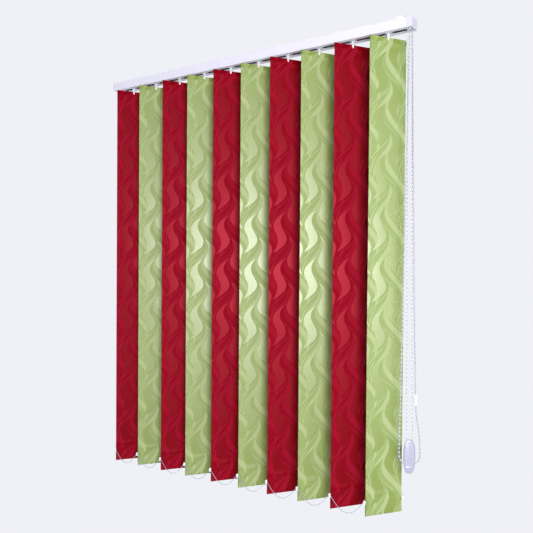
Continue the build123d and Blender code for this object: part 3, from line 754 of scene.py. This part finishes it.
# inside the channel the rail is coloured near-black grey: painted shade for the channel's hollow
channel_half = 0.0212
channel_foot = -0.0328
channel_roof = -0.0052
channel_shade_colour = (0.10, 0.13, 0.15, 1.0)
tree = rail_finish.node_tree
rail_shader = tree.nodes["Principled BSDF"]
painted = rail_shader.inputs["Base Color"].links[0].from_socket
rail_place = tree.nodes.new("ShaderNodeTexCoord")
rail_parts = tree.nodes.new("ShaderNodeSeparateXYZ")
rail_across = tree.nodes.new("ShaderNodeMath")
rail_across.operation = "ABSOLUTE"
rail_inside = tree.nodes.new("ShaderNodeMath")
rail_inside.operation = "LESS_THAN"
rail_inside.inputs[1].default_value = channel_half
rail_above = tree.nodes.new("ShaderNodeMath")
rail_above.operation = "GREATER_THAN"
rail_above.inputs[1].default_value = channel_foot
rail_below = tree.nodes.new("ShaderNodeMath")
rail_below.operation = "LESS_THAN"
rail_below.inputs[1].default_value = channel_roof
rail_both = tree.nodes.new("ShaderNodeMath")
rail_both.operation = "MULTIPLY"
rail_all = tree.nodes.new("ShaderNodeMath")
rail_all.operation = "MULTIPLY"
rail_mix = tree.nodes.new("ShaderNodeMix")
rail_mix.data_type = "RGBA"
rail_mix.inputs["B"].default_value = channel_shade_colour
tree.links.new(rail_place.outputs["Object"], rail_parts.inputs["Vector"])
tree.links.new(rail_parts.outputs["Y"], rail_across.inputs[0])
tree.links.new(rail_across.outputs["Value"], rail_inside.inputs[0])
tree.links.new(rail_parts.outputs["Z"], rail_above.inputs[0])
tree.links.new(rail_parts.outputs["Z"], rail_below.inputs[0])
tree.links.new(rail_above.outputs["Value"], rail_both.inputs[0])
tree.links.new(rail_below.outputs["Value"], rail_both.inputs[1])
tree.links.new(rail_inside.outputs["Value"], rail_all.inputs[0])
tree.links.new(rail_both.outputs["Value"], rail_all.inputs[1])
tree.links.new(rail_all.outputs["Value"], rail_mix.inputs["Factor"])
tree.links.new(painted, rail_mix.inputs["A"])
tree.links.new(rail_mix.outputs["Result"], rail_shader.inputs["Base Color"])
finish_of(["headrail"], rail_finish)
bracket_finish = powder_coat("bracket_paint", (0.78, 0.79, 0.84), 0.4, 600.0)
finish_of(["mounting_brackets"], bracket_finish)
housing_finish = moulded("housing_plastic", (0.66, 0.65, 0.76), 0.4, 1200.0, 0.00005)
finish_of(["control_housing", "end_cap"], housing_finish)

# ---- Carriers, worms and tilt rod ------------------------------------------------------------
# Each carrier is a grey-white moulded block on two runners; its nylon worm slides along the
# hexagonal drawn rod and turns the toothed stem that carries the vane.
carrier_finish = moulded("carrier_plastic", (0.55, 0.6, 0.64), 0.5, 1100.0, 0.00006)
worm_finish = moulded("worm_nylon", (0.72, 0.7, 0.62), 0.55, 1500.0, 0.00004)
finish_of([f"carrier_{number}" for number in range(1, 11)], carrier_finish)
finish_of([f"worm_{number}" for number in range(1, 11)], worm_finish)
rod_metal = bpy.data.materials.new("drawn_rod")
rod_metal.use_nodes = True
tree = rod_metal.node_tree
rod_shader = tree.nodes["Principled BSDF"]
rod_shader.inputs["Metallic"].default_value = 1.0
rod_place = tree.nodes.new("ShaderNodeTexCoord")
rod_drawn = tree.nodes.new("ShaderNodeMapping")
rod_drawn.inputs["Scale"].default_value = (2.0, 900.0, 900.0)
rod_streaks = tree.nodes.new("ShaderNodeTexNoise")
rod_shade = tree.nodes.new("ShaderNodeValToRGB")
rod_shade.color_ramp.elements[0].color = (0.42, 0.44, 0.46, 1.0)
rod_shade.color_ramp.elements[1].color = (0.62, 0.64, 0.66, 1.0)
rod_gloss = tree.nodes.new("ShaderNodeMapRange")
rod_gloss.inputs["To Min"].default_value = 0.25
rod_gloss.inputs["To Max"].default_value = 0.45
tree.links.new(rod_place.outputs["Object"], rod_drawn.inputs["Vector"])
tree.links.new(rod_drawn.outputs["Vector"], rod_streaks.inputs["Vector"])
tree.links.new(rod_streaks.outputs["Fac"], rod_shade.inputs["Fac"])
tree.links.new(rod_shade.outputs["Color"], rod_shader.inputs["Base Color"])
tree.links.new(rod_streaks.outputs["Fac"], rod_gloss.inputs["Value"])
tree.links.new(rod_gloss.outputs["Result"], rod_shader.inputs["Roughness"])
finish_of(["tilt_rod"], rod_metal)

# ---- Hook stems ------------------------------------------------------------------------------
# Each is moulded in white plastic: a round shaft with a toothed wheel inside the carrier, and
# below the rail a small open curl whose flat tongue comes down over the front of the vane.
shaft_radius = 0.003
shaft_top = -0.0085
flange_radius = 0.0045
flange_top = -0.0371
flange_foot = -0.0386
wheel_height = -0.020
wheel_thickness = 0.004
wheel_tip = 0.0047
wheel_root = 0.0032
curl_radius = 0.00125
tongue_front = -0.0026
tongue_back = -0.00132

hook_finish = moulded("hook_plastic", (0.87, 0.87, 0.91), 0.28, 900.0, 0.00004)
parts = []
for radius, top, foot in (
    (shaft_radius, shaft_top, flange_top), (flange_radius, flange_top, flange_foot),
):
    bpy.ops.object.select_all(action="DESELECT")
    bpy.ops.mesh.primitive_cylinder_add(
        vertices=32, radius=radius, depth=top - foot, location=(0, 0, (top + foot) / 2)
    )
    bpy.ops.object.transform_apply(location=True)
    edge = bpy.context.object.modifiers.new("edge", "BEVEL")
    edge.width = 0.0003
    edge.segments = 2
    bpy.ops.object.modifier_apply(modifier=edge.name)
    parts.append(bpy.context.object)
bpy.ops.object.select_all(action="DESELECT")
bpy.ops.mesh.primitive_cylinder_add(vertices=40, radius=1.0, depth=wheel_thickness)
wheel = bpy.context.object
for number, vertex in enumerate(wheel.data.vertices):
    reach = wheel_tip if (number // 2) % 4 in (0, 1) else wheel_root
    vertex.co.x *= reach
    vertex.co.y *= reach
    vertex.co.z += wheel_height
parts.append(wheel)
curl_data = smooth_route("curl", [
    (-0.0006, -0.00195, -0.0478), (-0.0016, -0.0019, -0.0452), (-0.0042, -0.0014, -0.0432),
    (-0.0034, -0.0006, -0.0392), (0.0006, -0.0002, -0.0383), (0.0048, -0.0006, -0.0392),
    (0.0052, -0.0010, -0.0430), (0.0034, -0.0012, -0.0438),
])
curl_data.bevel_depth = curl_radius
curl_data.bevel_resolution = 3
curl_data.resolution_u = 8
curl_data.use_fill_caps = True
curl_line = bpy.data.objects.new("curl", curl_data)
curl = bpy.data.objects.new("curl_mesh", bpy.data.meshes.new_from_object(curl_line))
bpy.data.objects.remove(curl_line)
bpy.context.scene.collection.objects.link(curl)
parts.append(curl)
outline = [
    (-0.0030, -0.0452), (0.0022, -0.0452), (0.0026, -0.0490), (0.0019, -0.0532),
    (0.0007, -0.0551), (-0.0009, -0.0551), (-0.0022, -0.0532), (-0.0032, -0.0490),
]
shape = bmesh.new()
shape.faces.new([shape.verts.new((x, tongue_back, z)) for x, z in outline])
bmesh.ops.recalc_face_normals(shape, faces=shape.faces)
pushed = bmesh.ops.extrude_face_region(shape, geom=shape.faces[:])
for item in pushed["geom"]:
    if isinstance(item, bmesh.types.BMVert):
        item.co.y = tongue_front
bmesh.ops.recalc_face_normals(shape, faces=shape.faces)
tongue_mesh = bpy.data.meshes.new("tongue")
shape.to_mesh(tongue_mesh)
shape.free()
tongue = bpy.data.objects.new("tongue", tongue_mesh)
bpy.context.scene.collection.objects.link(tongue)
bpy.ops.object.select_all(action="DESELECT")
bpy.context.view_layer.objects.active = tongue
tongue.select_set(True)
edge = tongue.modifiers.new("edge", "BEVEL")
edge.width = 0.0004
edge.segments = 2
bpy.ops.object.modifier_apply(modifier=edge.name)
parts.append(tongue)
bpy.ops.object.select_all(action="DESELECT")
for part in parts:
    part.select_set(True)
bpy.context.view_layer.objects.active = parts[0]
bpy.ops.object.join()
hook = bpy.context.object
bpy.ops.object.shade_smooth_by_angle(angle=radians(40))
for number, place in enumerate(vane_places, start=1):
    hook_mesh = hook.data.copy()
    hook_mesh.transform(Matrix.Translation((place, 0, 0)) @ Matrix.Rotation(vane_turn, 4, "Z"))
    hook_mesh.materials.clear()
    hook_mesh.materials.append(hook_finish)
    hanging = bpy.data.objects.new(f"hook_{number}", hook_mesh)
    bpy.context.scene.collection.objects.link(hanging)
    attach(hanging, f"vane_{number}")
    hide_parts(f"hook_stem_{number}")
bpy.data.objects.remove(hook)

# ---- Vane fittings ---------------------------------------------------------------------------
# In the hems lie a moulded hanger plate and a bottom weight, whose end pins carry the white
# clips of the link chains.
clip_finish = moulded("clip_plastic", (0.87, 0.87, 0.9), 0.33, 900.0, 0.00004)
finish_of([f"vane_fittings_{number}" for number in range(1, 11)], clip_finish)

# ---- Cord weight -----------------------------------------------------------------------------
# A flattened moulded drop in two shells. Both cord ends are knotted inside its top, and the
# bead chain runs through the slot across its foot.
weight_half = Vector((0.0175, 0.006, 0.050))
weight_middle = Vector((0.490, -0.017, -1.288))
weight_turn = radians(35.2)
recess_depth = 0.0009
recess_reach = 0.0085
recess_flare = 0.004
recess_top = 0.042
slot_drop = -0.029
slot_half = 0.0011

bpy.ops.object.select_all(action="DESELECT")
bpy.ops.mesh.primitive_uv_sphere_add(segments=64, ring_count=64, radius=1.0)
drop = bpy.context.object
drop.name = "cord_weight_drop"
for vertex in drop.data.vertices:
    level = max(-1.0, min(1.0, vertex.co.z))
    ring = max(1e-6, 1 - level * level) ** 0.5
    swell = ring**0.62
    across = vertex.co.x / ring * swell
    through = vertex.co.y / ring
    through = (abs(through) ** 0.75) * (1 if through > 0 else -1) * swell
    height = (abs(level) ** 0.85) * (1 if level > 0 else -1)
    x, y, z = across * weight_half.x, through * weight_half.y, height * weight_half.z
    # a hollow on each face, its edge curving down from the top to the slot
    edge = recess_reach + recess_flare * cos(pi * height / 2) - abs(x + 0.002)
    inside = max(0.0, min(1.0, edge / 0.0012)) * max(0.0, min(1.0, (z - slot_drop) / 0.0015))
    sunk = inside * max(0.0, min(1.0, (recess_top - z) / 0.002)) * recess_depth
    if abs(z - slot_drop) < slot_half:
        sunk = recess_depth
    y -= (1 if y > 0 else -1) * min(sunk, abs(y) * 0.6)
    vertex.co = (x, y, z)
bpy.ops.object.shade_smooth_by_angle(angle=radians(50))
drop.data.transform(Matrix.Translation(weight_middle) @ Matrix.Rotation(weight_turn, 4, "Z"))
drop.data.materials.append(moulded("weight_plastic", (0.41, 0.40, 0.52), 0.3, 800.0, 0.00005))
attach(drop, "root")
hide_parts("cord_weight")
